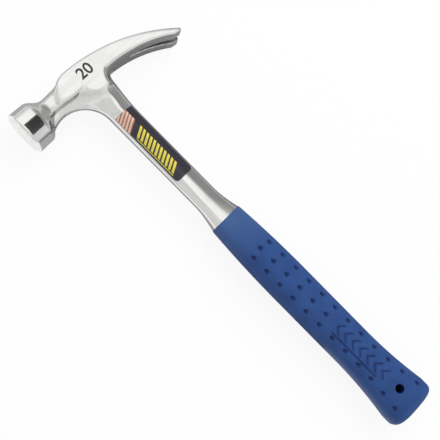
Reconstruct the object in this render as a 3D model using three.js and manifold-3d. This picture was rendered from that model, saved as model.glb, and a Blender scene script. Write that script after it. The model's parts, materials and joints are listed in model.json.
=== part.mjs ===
import * as THREE from 'three';
import { mergeVertices } from 'three/addons/utils/BufferGeometryUtils.js';
import Module from 'manifold-3d';

// A one-piece rip hammer with a moulded sleeve on its handle, lying on its side.
// +Y runs up the handle to the head, +X points along the claw and +Z is up. Lengths are in millimetres.
// Everything is drawn about the point where the poll's axis crosses the handle's axis, on the plane that
// splits the hammer into two like halves. The finished hammer is then set down on that side.

// Whole hammer
const OVERALL_LENGTH = 340.5;

// Poll, a turned barrel with a bevelled flat face and a coved neck
const FACE_REACH = 60.4;
const FACE_RADIUS = 13.2;
const FACE_BEVEL_LENGTH = 2.6;
const POLL_RADIUS = 16.3;
const POLL_BACK_RADIUS = 15.9;
const POLL_LENGTH = 12;
const POLL_COVE_LENGTH = 14.5;
const POLL_COVE_LEAD = 7.2;
const POLL_COVE_EXIT = 4.8;
const POLL_COVE_LEAN = 1.6;
const POLL_NECK_RADIUS = 9.6;
const POLL_ROOT_RADIUS = 10.4;

// Cheek, the flat-sided block over the handle
const CHEEK_WIDTH = 24.6;
const CHEEK_FRONT_WIDTH = 17;
const CHEEK_FRONT_REACH = 27;
const CHEEK_FLAT_REACH = 18;
const CHEEK_EDGE_RADIUS = 3;
const CROWN_HEIGHT = 12;
const CROWN_REACH = 12;
const CROWN_SHOULDER_RADIUS = 20;

// Claw, swept back along two arcs to a chisel end and split by a nail slot
const CLAW_REACH = 71.6;
const CLAW_BACK_RADIUS = 128;
const CLAW_UNDER_RADIUS = 95;
const CLAW_UNDER_DROP = 6.2;
const CLAW_ROOT_REACH = 15;
const CLAW_END_WIDTH = 28.4;
const CLAW_END_THICKNESS = 2.6;
const CHISEL_LENGTH = 9;
const CLAW_EDGE_RADIUS = 2.2;
const LARGEST_EDGE_SHARE = 0.45;
const SLOT_LENGTH = 38;
const SLOT_END_WIDTH = 8.6;
const SLOT_ROOT_RADIUS = 0.7;
const SLOT_CUT_OVERRUN = 15;
const SLOT_CUT_HEIGHT = 64;

// Neck and shank, a roofed bar with a soft ridge down the middle of each face
const NECK_WIDTH = 19.2;
const NECK_THICKNESS = 16;
const NECK_COVE_LENGTH = 18;
const NECK_EDGE_THICKNESS = 7;
const ARCH_RADIUS = 22;
const ARCH_COVE_RUN = 13;
const ARC_SHARE = 0.97;
const COVE_SHARE = 0.8;
const CHEEK_SKIRT = 7;
const CLAW_FILLET_RADIUS = 7;
const CLAW_FILLET_TAPER = 2;
const CLAW_FILLET_TAPER_LENGTH = 34;
const RIDGE_SWEEP = 11;
const RIDGE_SOFTNESS = 0.15;
const SHANK_THICKNESS = 11.5;
const SHANK_EDGE_THICKNESS = 6;
const FLARE_LENGTH = 21;
const SHOULDER_WIDTH = 25;
const SHOULDER_THICKNESS = 17.6;

// Tang, the I-section bar inside the sleeve
const TANG_WIDTH = 19;
const TANG_END_WIDTH = 16;
const TANG_THICKNESS = 10;
const TANG_EDGE_RADIUS = 2;
const TANG_LENGTH = 155;
const TANG_ROOT = 3;
const CHANNEL_WIDTH = 9;
const CHANNEL_DEPTH = 2.6;
const CHANNEL_MARGIN = 12;

// Sleeve, the moulded grip
const SLEEVE_LENGTH = 186.8;
const SLEEVE_TOP_WIDTH = 25.4;
const SLEEVE_TOP_THICKNESS = 18.4;
const SLEEVE_PALM_WIDTH = 29.8;
const SLEEVE_PALM_THICKNESS = 25;
const SLEEVE_BUTT_WIDTH = 37.6;
const SLEEVE_BUTT_THICKNESS = 28;
const PALM_START = 64;
const BUTT_FLARE_LENGTH = 50;
const BUTT_LENGTH = 11;
const BUTT_CORNER_RADIUS = 6;
const BUTT_CROWN = 1.4;
const BUTT_CROWN_INSET = 12;
const SLEEVE_TOP_EDGE = 0.8;
const SLEEVE_SQUARENESS = 2.7;
const HANG_HOLE_DIAMETER = 6;
const HANG_HOLE_SETBACK = 19.6;

// Grip pits, three rows of three-cornered dimples on each broad face
const PIT_CORNERS = 3;
const PIT_RADIUS = 1.9;
const PIT_FLOOR_RADIUS = 0.7;
const PIT_DEPTH = 1.3;
const PIT_PITCH = 12.8;
const PIT_ROW_INSET = 6.3;
const PIT_FIRST = 33;
const SIDE_ROW_PITS = 12;
const MIDDLE_ROW_PITS = 6;
const MIDDLE_ROW_LEAD = 1.6;

// Label, a film laid over the ridge of the upper face
const LABEL_LENGTH = 61.5;
const LABEL_WIDTH = 15.4;
const LABEL_START = 35;
const LABEL_THICKNESS = 0.3;
const LABEL_CORNER_RADIUS = 3;
const LABEL_CUT_MARGIN = 1;

// Clearance left between pieces that fit together
const CLEARANCE = 0.3;

// Fineness of the facets
const POLL_SIDES = 40;
const CORNER_STEPS = 4;
const FACE_STEPS = 6;
const SLEEVE_SIDES = 36;
const CURVE_STEPS = 7;
const HOLE_SIDES = 20;

// Places that follow from the sizes
const BUTT_Y = POLL_RADIUS - OVERALL_LENGTH;
const SLEEVE_TOP_Y = BUTT_Y + SLEEVE_LENGTH;
const SHOULDER_Y = SLEEVE_TOP_Y + CLEARANCE;
const TANG_END_Y = SLEEVE_TOP_Y - TANG_LENGTH;
const HANG_HOLE_Y = BUTT_Y + HANG_HOLE_SETBACK;
const NECK_TOP_Y = -CLAW_UNDER_DROP;
const SKIRT_Y = NECK_TOP_Y - CHEEK_SKIRT;
const NECK_COVE_Y = SKIRT_Y - NECK_COVE_LENGTH;
const ARCH_Y = -POLL_NECK_RADIUS - ARCH_RADIUS;
const FLARE_Y = SHOULDER_Y + FLARE_LENGTH;

const wasm = await Module();
wasm.setup();

// Solid of a closed three.js geometry, ready to be joined and cut.
function solid(geometry) {
  const bare = geometry.clone();
  bare.deleteAttribute('normal');
  bare.deleteAttribute('uv');
  const merged = mergeVertices(bare);
  const mesh = new wasm.Mesh({
    numProp: 3,
    vertProperties: Float32Array.from(merged.attributes.position.array),
    triVerts: Uint32Array.from(merged.index.array),
  });
  mesh.merge();
  return new wasm.Manifold(mesh);
}

// Geometry of a joined or cut solid.
function geometryOf(manifold) {
  const { vertProperties, triVerts } = manifold.getMesh();
  const geometry = new THREE.BufferGeometry();
  geometry.setAttribute('position', new THREE.Float32BufferAttribute(vertProperties, 3));
  geometry.setIndex(Array.from(triVerts));
  geometry.computeVertexNormals();
  return geometry;
}

// Closed skin over a stack of rings with like counts of points, with a fan over each end.
// The rings turn counterclockwise about the direction in which the stack grows.
function loft(rings) {
  const count = rings[0].length;
  const centres = [rings[0], rings[rings.length - 1]].map((ring) => {
    const sum = ring.reduce((total, point) => total.add(point), new THREE.Vector3());
    return sum.divideScalar(count);
  });
  const points = [...rings.flat(), ...centres];
  const firstCentre = points.length - 2;
  const lastCentre = points.length - 1;
  const lastRing = (rings.length - 1) * count;
  const index = [];
  for (let i = 0; i < count; i += 1) {
    const next = (i + 1) % count;
    for (let level = 0; level < lastRing; level += count) {
      index.push(level + i, level + next, level + next + count);
      index.push(level + i, level + next + count, level + i + count);
    }
    index.push(firstCentre, next, i);
    index.push(lastCentre, lastRing + i, lastRing + next);
  }
  const geometry = new THREE.BufferGeometry().setFromPoints(points);
  geometry.setIndex(index);
  return geometry;
}

// Rounded rectangle as flat points, counterclockwise, with each corner an arc.
function roundedRectangle(width, height, radius) {
  const points = [];
  for (let corner = 0; corner < 4; corner += 1) {
    const sideX = corner === 0 || corner === 3 ? 1 : -1;
    const sideY = corner < 2 ? 1 : -1;
    for (let step = 0; step <= CORNER_STEPS; step += 1) {
      const angle = (corner + step / CORNER_STEPS) * Math.PI / 2;
      const x = sideX * (width / 2 - radius) + radius * Math.cos(angle);
      const y = sideY * (height / 2 - radius) + radius * Math.sin(angle);
      points.push(new THREE.Vector2(x, y));
    }
  }
  return points;
}

// Share of the way from one value to another, held at the ends.
function progress(value, from, to) {
  return THREE.MathUtils.clamp((value - from) / (to - from), 0, 1);
}

// Rise of a quarter arc that starts level: 0 at its start and 1 at its end.
function easeIn(share) {
  return 1 - Math.cos(share * Math.PI / 2);
}

// Evenly spaced values from one number to another, both included.
function spread(from, to, steps) {
  return Array.from({ length: steps + 1 }, (_, i) => THREE.MathUtils.lerp(from, to, i / steps));
}

// Poll: a barrel turned about the head's axis, from inside the cheek out to the striking face.
function pollSolid() {
  const barrelBack = FACE_REACH - POLL_LENGTH;
  const neckEnd = barrelBack - POLL_COVE_LENGTH;
  const profile = new THREE.Path();
  profile.moveTo(0, CHEEK_FLAT_REACH);
  profile.lineTo(POLL_ROOT_RADIUS, CHEEK_FLAT_REACH);
  profile.bezierCurveTo(
    POLL_NECK_RADIUS, (CHEEK_FLAT_REACH + neckEnd) / 2,
    POLL_NECK_RADIUS, (CHEEK_FLAT_REACH + neckEnd) / 2,
    POLL_NECK_RADIUS, neckEnd,
  );
  profile.bezierCurveTo(
    POLL_NECK_RADIUS, neckEnd + POLL_COVE_LEAD,
    POLL_BACK_RADIUS - POLL_COVE_LEAN, barrelBack - POLL_COVE_EXIT,
    POLL_BACK_RADIUS, barrelBack,
  );
  profile.lineTo(POLL_RADIUS, FACE_REACH - FACE_BEVEL_LENGTH);
  profile.lineTo(FACE_RADIUS, FACE_REACH);
  profile.lineTo(0, FACE_REACH);
  const barrel = new THREE.LatheGeometry(profile.getPoints(CURVE_STEPS), POLL_SIDES);
  return solid(barrel.rotateZ(Math.PI / 2));
}

// Cheek and claw: rounded rectangles stood square to the head's back, from the poll's neck to the chisel.
function cheekAndClawSolid() {
  const backCentre = new THREE.Vector3(-CROWN_REACH, CROWN_HEIGHT - CLAW_BACK_RADIUS, 0);
  const underCentre = new THREE.Vector3(CLAW_ROOT_REACH, -CLAW_UNDER_DROP - CLAW_UNDER_RADIUS, 0);
  const under = new THREE.Sphere(underCentre, CLAW_UNDER_RADIUS);
  const endAngle = Math.asin((CLAW_REACH + CROWN_REACH) / CLAW_BACK_RADIUS);
  const frontAngle = -Math.asin((CHEEK_FRONT_REACH - CROWN_REACH) / CLAW_BACK_RADIUS);
  const flatAngle = -Math.asin((CHEEK_FLAT_REACH - CROWN_REACH) / CLAW_BACK_RADIUS);
  const rootAngle = Math.asin((CLAW_ROOT_REACH + CROWN_REACH) / CLAW_BACK_RADIUS);
  const chiselAngle = endAngle - CHISEL_LENGTH / CLAW_BACK_RADIUS;

  const sectionAt = (angle) => {
    const outward = new THREE.Vector3(Math.sin(angle), Math.cos(angle), 0);
    const top = backCentre.clone().addScaledVector(outward, CLAW_BACK_RADIUS);
    const ahead = Math.max(0, -top.x - CROWN_REACH);
    const shoulder = CROWN_SHOULDER_RADIUS - Math.sqrt(CROWN_SHOULDER_RADIUS ** 2 - ahead ** 2);
    top.addScaledVector(outward, -shoulder);
    const level = (top.y + CLAW_UNDER_DROP) / outward.y;
    const inward = outward.clone().negate();
    const swept = new THREE.Ray(top, inward).intersectSphere(under, new THREE.Vector3());
    const depth = angle < rootAngle || !swept ? level : top.distanceTo(swept);
    const chisel = progress(angle, chiselAngle, endAngle);
    const thickness = THREE.MathUtils.lerp(depth, CLAW_END_THICKNESS, chisel);
    const front = progress(angle, frontAngle, flatAngle);
    const sweep = progress(angle, rootAngle, endAngle);
    const cheekWidth = THREE.MathUtils.lerp(CHEEK_FRONT_WIDTH, CHEEK_WIDTH, Math.sqrt(front));
    const width = THREE.MathUtils.lerp(cheekWidth, CLAW_END_WIDTH, sweep);
    const edge = THREE.MathUtils.lerp(CHEEK_EDGE_RADIUS, CLAW_EDGE_RADIUS, sweep);
    const radius = Math.min(edge, thickness * LARGEST_EDGE_SHARE);
    return roundedRectangle(width, thickness, radius).map((point) => (
      top.clone()
        .addScaledVector(outward, point.y - thickness / 2)
        .add(new THREE.Vector3(0, 0, -point.x))
    ));
  };

  const angles = [
    ...spread(frontAngle, flatAngle, CURVE_STEPS),
    ...spread(flatAngle, rootAngle, CURVE_STEPS).slice(1),
    ...spread(rootAngle, chiselAngle, CURVE_STEPS).slice(1),
    endAngle,
  ];
  const body = solid(loft(angles.map(sectionAt)));
  return body.subtract(nailSlotSolid(backCentre, endAngle));
}

// Nail slot: a V that opens at the claw's end and stops in a small round root.
function nailSlotSolid(backCentre, endAngle) {
  const spreadPerLength = (SLOT_END_WIDTH / 2 - SLOT_ROOT_RADIUS) / SLOT_LENGTH;
  const mouth = SLOT_END_WIDTH / 2 + spreadPerLength * SLOT_CUT_OVERRUN;
  const outline = new THREE.Shape();
  outline.moveTo(SLOT_CUT_OVERRUN, -mouth);
  outline.lineTo(SLOT_CUT_OVERRUN, mouth);
  outline.lineTo(-SLOT_LENGTH, SLOT_ROOT_RADIUS);
  outline.absarc(-SLOT_LENGTH, 0, SLOT_ROOT_RADIUS, Math.PI / 2, 3 * Math.PI / 2, false);
  outline.closePath();
  const cut = new THREE.ExtrudeGeometry(outline, {
    depth: SLOT_CUT_HEIGHT, bevelEnabled: false, curveSegments: CURVE_STEPS,
  });
  const middleAngle = endAngle - SLOT_LENGTH / 2 / CLAW_BACK_RADIUS;
  const outward = new THREE.Vector3(Math.sin(endAngle), Math.cos(endAngle), 0);
  const tip = backCentre.clone().addScaledVector(outward, CLAW_BACK_RADIUS);
  cut.translate(0, 0, -SLOT_CUT_HEIGHT / 2).rotateX(-Math.PI / 2).rotateZ(-middleAngle);
  cut.translate(tip.x, tip.y, 0);
  return solid(cut);
}

// Half widths of the neck and shank at one height, to the poll's side and to the claw's side.
function shankSides(y) {
  const flare = (SHOULDER_WIDTH - NECK_WIDTH) / 2 * easeIn(progress(y, FLARE_Y, SHOULDER_Y));
  const archHeight = THREE.MathUtils.clamp(y - ARCH_Y, 0, ARCH_RADIUS * ARC_SHARE);
  const arch = ARCH_RADIUS - Math.sqrt(ARCH_RADIUS ** 2 - archHeight ** 2);
  const filletY = NECK_TOP_Y - CLAW_FILLET_RADIUS;
  const filletHeight = THREE.MathUtils.clamp(y - filletY, 0, CLAW_FILLET_RADIUS * ARC_SHARE);
  const fillet = CLAW_FILLET_RADIUS - Math.sqrt(CLAW_FILLET_RADIUS ** 2 - filletHeight ** 2);
  const taper = CLAW_FILLET_TAPER * easeIn(progress(y, filletY - CLAW_FILLET_TAPER_LENGTH, filletY));
  return {
    pollSide: NECK_WIDTH / 2 + flare + arch,
    clawSide: NECK_WIDTH / 2 + flare + taper + fillet,
  };
}

// Half thickness of the neck and shank at one height, at the ridge and near the edges.
function shankDepths(y) {
  const down = progress(y, NECK_COVE_Y, FLARE_Y);
  const flare = easeIn(progress(y, FLARE_Y, SHOULDER_Y));
  const cove = easeIn(progress(y, NECK_COVE_Y, SKIRT_Y));
  const bar = THREE.MathUtils.lerp(NECK_THICKNESS, SHANK_THICKNESS, down);
  const barEdge = THREE.MathUtils.lerp(NECK_EDGE_THICKNESS, SHANK_EDGE_THICKNESS, down);
  const ridge = bar + (CHEEK_WIDTH - NECK_THICKNESS) * cove + (SHOULDER_THICKNESS - bar) * flare;
  const edge = barEdge + (SHOULDER_THICKNESS - SHANK_THICKNESS) * flare;
  return { ridge: ridge / 2, edge: edge / 2 };
}

// Lines that run down the upper face: the ridge, and the inner end of the cove that follows the arch.
function faceLines(y) {
  const head = progress(y, NECK_COVE_Y, SKIRT_Y);
  const { pollSide } = shankSides(y);
  const ridgeX = RIDGE_SWEEP * easeIn(head);
  const coveRun = Math.min(ARCH_COVE_RUN, COVE_SHARE * (ridgeX + pollSide));
  return { head, ridgeX, coveX: coveRun - pollSide };
}

// Height of the upper face over the mid plane at one place on the neck or shank. Two slopes fall from the
// ridge. Near the head the poll's side turns into the cove, which leaves the foot of the cheek flat.
function shankFace(x, y) {
  const { pollSide, clawSide } = shankSides(y);
  const { ridge, edge } = shankDepths(y);
  const { head, ridgeX, coveX } = faceLines(y);
  const toPoll = x < ridgeX;
  const run = toPoll ? ridgeX + pollSide : clawSide - ridgeX;
  const inward = toPoll ? x + pollSide : clawSide - x;
  const foot = Math.hypot(1, RIDGE_SOFTNESS);
  const slope = (foot - Math.hypot(1 - inward / run, RIDGE_SOFTNESS)) / (foot - RIDGE_SOFTNESS);
  const cove = easeIn(progress(inward, 0, coveX + pollSide));
  const rise = toPoll ? THREE.MathUtils.lerp(slope, cove, head) : slope;
  const rim = Math.sqrt(1 - (1 - progress(inward, 0, edge)) ** 2);
  return THREE.MathUtils.lerp(edge, ridge, rise) * rim;
}

// Ring of the neck or shank at one height: the upper face from the claw's side to the poll's side, then back
// along the lower face. Points crowd toward the round edges and lie on the ridge and on the cove's end.
function shankRing(y) {
  const { pollSide, clawSide } = shankSides(y);
  const { ridgeX, coveX } = faceLines(y);
  const shares = spread(0, 1, FACE_STEPS).map((share) => share ** 2);
  const slope = shares.map((share) => THREE.MathUtils.lerp(clawSide, ridgeX, share));
  const cove = shares.map((share) => THREE.MathUtils.lerp(-pollSide, coveX, share)).reverse();
  const places = [...slope, (ridgeX + coveX) / 2, ...cove];
  const upper = places.map((x) => new THREE.Vector3(x, y, shankFace(x, y)));
  const lower = upper.slice(1, -1).reverse().map((point) => new THREE.Vector3(point.x, y, -point.z));
  return [...upper, ...lower];
}

// Neck and shank: from inside the cheek down to the flat shoulder that the sleeve meets.
function shankSolid() {
  const coveBottom = Math.min(NECK_COVE_Y, ARCH_Y);
  const heights = [
    ...spread(SHOULDER_Y, FLARE_Y, CURVE_STEPS),
    ...spread(FLARE_Y, coveBottom, CURVE_STEPS).slice(1),
    ...spread(coveBottom, NECK_TOP_Y, 3 * CURVE_STEPS).slice(1),
    0,
  ];
  const rings = heights.map(shankRing);
  return solid(loft(rings.map((ring) => ring.reverse())));
}

// Tang: the bar inside the sleeve with a channel along each broad face. The clearance grows it all round.
function tangSolid(clearance) {
  const ringAt = (y, width) => roundedRectangle(
    width + 2 * clearance, TANG_THICKNESS + 2 * clearance, TANG_EDGE_RADIUS + clearance,
  ).map((point) => new THREE.Vector3(-point.x, y, point.y));
  const bar = solid(loft([
    ringAt(TANG_END_Y - clearance, TANG_END_WIDTH),
    ringAt(SHOULDER_Y + TANG_ROOT, TANG_WIDTH),
  ]));
  const top = SLEEVE_TOP_Y - CHANNEL_MARGIN;
  const bottom = TANG_END_Y + CHANNEL_MARGIN;
  const radius = CHANNEL_WIDTH / 2 - clearance;
  const outline = new THREE.Shape();
  outline.absarc(0, top - CHANNEL_WIDTH / 2, radius, 0, Math.PI, false);
  outline.absarc(0, bottom + CHANNEL_WIDTH / 2, radius, Math.PI, 2 * Math.PI, false);
  outline.closePath();
  const groove = new THREE.ExtrudeGeometry(outline, {
    depth: TANG_THICKNESS, bevelEnabled: false, curveSegments: CURVE_STEPS,
  });
  const floor = TANG_THICKNESS / 2 - CHANNEL_DEPTH + clearance;
  const upper = solid(groove.clone().translate(0, 0, floor));
  const lower = solid(groove.clone().translate(0, 0, -floor - TANG_THICKNESS));
  return bar.subtract(upper).subtract(lower);
}

// Half width and half thickness of the sleeve at one height.
function sleeveHalves(y) {
  const swell = 1 - (1 - progress(y, SLEEVE_TOP_Y, SLEEVE_TOP_Y - PALM_START)) ** 2;
  const buttY = BUTT_Y + BUTT_LENGTH;
  const flare = progress(y, buttY + BUTT_FLARE_LENGTH, buttY) ** 2;
  const width = SLEEVE_TOP_WIDTH + (SLEEVE_PALM_WIDTH - SLEEVE_TOP_WIDTH) * swell
    + (SLEEVE_BUTT_WIDTH - SLEEVE_PALM_WIDTH) * flare;
  const thickness = SLEEVE_TOP_THICKNESS + (SLEEVE_PALM_THICKNESS - SLEEVE_TOP_THICKNESS) * swell
    + (SLEEVE_BUTT_THICKNESS - SLEEVE_PALM_THICKNESS) * flare;
  return { width: width / 2, thickness: thickness / 2 };
}

// Ring of the sleeve: a squared oval, drawn in by an inset.
function sleeveRing(y, halves, inset) {
  const power = 2 / SLEEVE_SQUARENESS;
  return Array.from({ length: SLEEVE_SIDES }, (_, i) => {
    const turn = -2 * Math.PI * i / SLEEVE_SIDES;
    const cos = Math.cos(turn);
    const sin = Math.sin(turn);
    const x = (halves.width - inset) * Math.sign(cos) * Math.abs(cos) ** power;
    const z = (halves.thickness - inset) * Math.sign(sin) * Math.abs(sin) ** power;
    return new THREE.Vector3(x, y, z);
  });
}

// Outside of the sleeve: crowned butt with a rounded rim, flare, palm and a thinner top.
function sleeveBodySolid() {
  const rimY = BUTT_Y + BUTT_CROWN + BUTT_CORNER_RADIUS;
  const corner = spread(Math.PI / 2, 0, CURVE_STEPS - 2).map((angle) => {
    const y = rimY - BUTT_CORNER_RADIUS * Math.sin(angle);
    return sleeveRing(y, sleeveHalves(y), BUTT_CORNER_RADIUS * (1 - Math.cos(angle)));
  });
  const crown = sleeveRing(BUTT_Y, sleeveHalves(BUTT_Y), BUTT_CROWN_INSET);
  const palmTop = SLEEVE_TOP_Y - PALM_START;
  const palmEnd = BUTT_Y + BUTT_LENGTH + BUTT_FLARE_LENGTH;
  const heights = [
    ...spread(BUTT_Y + BUTT_LENGTH, palmEnd, CURVE_STEPS),
    ...spread(palmEnd, palmTop, 2).slice(1),
    ...spread(palmTop, SLEEVE_TOP_Y - SLEEVE_TOP_EDGE, CURVE_STEPS).slice(1),
  ];
  const body = heights.map((y) => sleeveRing(y, sleeveHalves(y), 0));
  const top = sleeveRing(SLEEVE_TOP_Y, sleeveHalves(SLEEVE_TOP_Y), SLEEVE_TOP_EDGE);
  return solid(loft([crown, ...corner, ...body, top]));
}

// Places of the pits on one face, as distances across and along the handle.
function pitPlaces() {
  const places = [];
  for (const row of [-1, 0, 1]) {
    const count = row === 0 ? MIDDLE_ROW_PITS : SIDE_ROW_PITS;
    const lead = row === 0 ? MIDDLE_ROW_LEAD : 0;
    for (let i = 0; i < count; i += 1) {
      const y = SLEEVE_TOP_Y - PIT_FIRST + lead - i * PIT_PITCH;
      places.push({ x: row * (sleeveHalves(y).width - PIT_ROW_INSET), y });
    }
  }
  return places;
}

// One pit: a three-cornered hollow that narrows to its floor, sunk square to the sleeve's face.
function pitSolid(x, y, side) {
  const { width, thickness } = sleeveHalves(y);
  const face = (at) => {
    const share = 1 - Math.abs(at / width) ** SLEEVE_SQUARENESS;
    return thickness * share ** (1 / SLEEVE_SQUARENESS);
  };
  const lean = Math.atan2(face(x - PIT_RADIUS) - face(x + PIT_RADIUS), 2 * PIT_RADIUS);
  const height = 2 * PIT_DEPTH;
  const growth = (PIT_RADIUS - PIT_FLOOR_RADIUS) / PIT_DEPTH * height;
  const mouthRadius = PIT_FLOOR_RADIUS + growth;
  const pit = new THREE.CylinderGeometry(mouthRadius, PIT_FLOOR_RADIUS, height, PIT_CORNERS);
  pit.rotateX(Math.PI / 2).translate(0, 0, height / 2 - PIT_DEPTH).rotateY(lean);
  pit.translate(x, y, face(x));
  if (side < 0) {
    pit.rotateY(Math.PI);
  }
  return solid(pit);
}

// Sleeve: moulded round the tang, with the hang hole through its butt and the pits on both faces.
function sleeveSolid() {
  const hole = new THREE.CylinderGeometry(
    HANG_HOLE_DIAMETER / 2, HANG_HOLE_DIAMETER / 2, 2 * SLEEVE_BUTT_THICKNESS, HOLE_SIDES,
  );
  hole.rotateX(Math.PI / 2).translate(0, HANG_HOLE_Y, 0);
  let sleeve = sleeveBodySolid().subtract(tangSolid(CLEARANCE)).subtract(solid(hole));
  for (const { x, y } of pitPlaces()) {
    sleeve = sleeve.subtract(pitSolid(x, y, 1)).subtract(pitSolid(-x, y, -1));
  }
  return sleeve;
}

// Label: a film of even thickness over the ridge, with round corners.
function labelSolid() {
  const outline = new THREE.Shape();
  const bottom = -LABEL_START - LABEL_LENGTH;
  const inset = LABEL_CORNER_RADIUS;
  outline.absarc(LABEL_WIDTH / 2 - inset, -LABEL_START - inset, inset, 0, Math.PI / 2, false);
  outline.absarc(inset - LABEL_WIDTH / 2, -LABEL_START - inset, inset, Math.PI / 2, Math.PI, false);
  outline.absarc(inset - LABEL_WIDTH / 2, bottom + inset, inset, Math.PI, 3 * Math.PI / 2, false);
  outline.absarc(LABEL_WIDTH / 2 - inset, bottom + inset, inset, 3 * Math.PI / 2, 2 * Math.PI, false);
  outline.closePath();
  const column = solid(new THREE.ExtrudeGeometry(outline, {
    depth: NECK_THICKNESS, bevelEnabled: false, curveSegments: CURVE_STEPS,
  }));
  const side = LABEL_WIDTH / 2 + LABEL_CUT_MARGIN;
  const heights = spread(bottom - LABEL_CUT_MARGIN, LABEL_CUT_MARGIN - LABEL_START, CURVE_STEPS);
  const film = (lift) => solid(loft(heights.map((y) => [
    ...spread(-side, side, 2 * FACE_STEPS).map((x) => new THREE.Vector3(x, y, shankFace(x, y) + lift)),
    new THREE.Vector3(side, y, -LABEL_CUT_MARGIN),
    new THREE.Vector3(-side, y, -LABEL_CUT_MARGIN),
  ])));
  return film(CLEARANCE + LABEL_THICKNESS).intersect(column).subtract(film(CLEARANCE));
}

function piece(name, shape, material) {
  const mesh = new THREE.Mesh(geometryOf(shape), material);
  mesh.name = name;
  return mesh;
}

const steel = new THREE.MeshStandardMaterial({ color: 0xd6d6d4, roughness: 0.18, metalness: 1 });
const blueVinyl = new THREE.MeshStandardMaterial({ color: 0x315591, roughness: 0.55, metalness: 0 });
const blackFilm = new THREE.MeshStandardMaterial({ color: 0x1c1a1c, roughness: 0.4, metalness: 0 });

const forging = pollSolid().add(cheekAndClawSolid()).add(shankSolid()).add(tangSolid(0));

const hammer = new THREE.Group();
hammer.add(piece('steel_forging', forging, steel));
hammer.add(piece('grip_sleeve', sleeveSolid(), blueVinyl));
hammer.add(piece('neck_label', labelSolid(), blackFilm));

// Set the hammer down: the middle of its outline goes over the origin and its lowest point to the floor.
const bounds = new THREE.Box3().setFromObject(hammer);
const middle = bounds.getCenter(new THREE.Vector3());
hammer.position.set(-middle.x, -middle.y, -bounds.min.z);

export default hammer;
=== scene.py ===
"""Dresses the rip hammer: forged steel, moulded sleeve, printed film, weight number and a studio."""

import json
import math

import bpy
import numpy as np
import openvdb
from bpy.props import FloatProperty, FloatVectorProperty, IntProperty, PointerProperty
from mathutils import Matrix, Vector


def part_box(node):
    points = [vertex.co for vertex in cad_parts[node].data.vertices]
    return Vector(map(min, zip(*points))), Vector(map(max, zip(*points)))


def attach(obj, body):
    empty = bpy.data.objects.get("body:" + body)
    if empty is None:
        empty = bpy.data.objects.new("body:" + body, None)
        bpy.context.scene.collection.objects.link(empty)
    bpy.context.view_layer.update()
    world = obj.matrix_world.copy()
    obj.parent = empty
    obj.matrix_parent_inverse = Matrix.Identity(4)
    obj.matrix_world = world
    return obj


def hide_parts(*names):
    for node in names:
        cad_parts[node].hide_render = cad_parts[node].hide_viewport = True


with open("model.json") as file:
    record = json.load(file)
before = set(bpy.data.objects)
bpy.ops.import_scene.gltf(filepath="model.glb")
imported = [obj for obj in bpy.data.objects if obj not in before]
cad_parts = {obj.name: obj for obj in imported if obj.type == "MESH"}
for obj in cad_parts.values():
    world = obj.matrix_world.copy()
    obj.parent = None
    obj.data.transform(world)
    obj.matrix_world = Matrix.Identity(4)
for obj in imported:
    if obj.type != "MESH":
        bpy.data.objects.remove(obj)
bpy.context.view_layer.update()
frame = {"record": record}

bl_info = {
    "name": "Rip Hammer",
    "version": (1, 0, 0),
    "blender": (4, 5, 0),
    "location": "3D View > Sidebar > Rip Hammer",
    "description": "Builds a one-piece rip hammer with a moulded sleeve on its packed frame",
    "category": "Add Mesh",
}

MM = 0.001
STEEL_PITCH = 0.59 * MM
SLEEVE_PITCH = 0.61 * MM
MOUNTS = {mount["name"]: mount for mount in frame["record"]["mounts"]}
OPENINGS = {opening["name"]: opening for opening in frame["record"]["physics"]["openings"]}
FACE_PLACE = Vector(MOUNTS["striking_face"]["pos_m"])
CHEEK_PLACE = Vector(MOUNTS["upper_cheek"]["pos_m"])
SLEEVE_LOW, SLEEVE_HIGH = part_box("grip_sleeve")
LABEL_LOW, LABEL_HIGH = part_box("neck_label")
HOLE_LOW, HOLE_HIGH = (Vector(corner) for corner in OPENINGS["hang_hole"]["box_m"])

# Shares of a radius up to which an arc is followed, before it turns too steep for a height
ARC_SHARE = 0.97
SHOULDER_SHARE = 0.9

# Roundings and slopes of the forging
POLL_FILLET = 2.0 * MM
SLOT_EDGE = 0.5 * MM
TANG_EDGE = 2.0 * MM
BAR_EDGE_SHARE = 0.95
POLL_GAP = 0.5 * MM
ARCH_COVE_TURN = (math.radians(25), math.radians(80))

# Roundings and slopes of the sleeve
PIT_DRAFT = 0.4
PIT_SIDE_SLOPE = 0.75
PIT_FLOOR_POWER = 0.8
PIT_POINT_EDGE = 0.8 * MM
PIT_FLOOR_EDGE = 0.5 * MM
PIT_RIM_EDGE = 0.25 * MM
CHEVRON_LINE_GAP = 1.6 * MM
CHEVRON_FLOOR_EDGE = 0.3 * MM
CHEVRON_RIM_EDGE = 0.2 * MM

# Steps along curves, blurs in cells of the grid, and where along the head the steel is softer
CURVE_STEPS = 40
FILM_ROWS, FILM_COLUMNS, FILM_CORNER_STEPS = 160, 48, 14
CRISP_CELLS, SOFT_CELLS, SLEEVE_CELLS = 0.6, 1.0, 0.5
SOFT_FRONT = (36 * MM, 30 * MM)
SOFT_BACK = (34 * MM, 20 * MM)

# Where the finishes of the steel change, along the handle and along the claw
STREAK_TURN = (105 * MM, 125 * MM)
FACE_WEAR = (FACE_PLACE.x + 0.3 * MM, FACE_PLACE.x + 2.5 * MM)
CLAW_WEAR = (58 * MM, 66 * MM)
SLOT_START = (26 * MM, 31 * MM)
SLOT_RUN = (31 * MM, 65.6 * MM)

# The weight number: its shift from the middle of the cheek flat, its boldness and its size in the font
NUMBER_SHIFT = Vector((3.4 * MM, 0.25 * MM, 0.05 * MM))
NUMBER_BOLDNESS = 0.2 * MM
FONT_SIZE_PER_HEIGHT = 1.37

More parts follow.
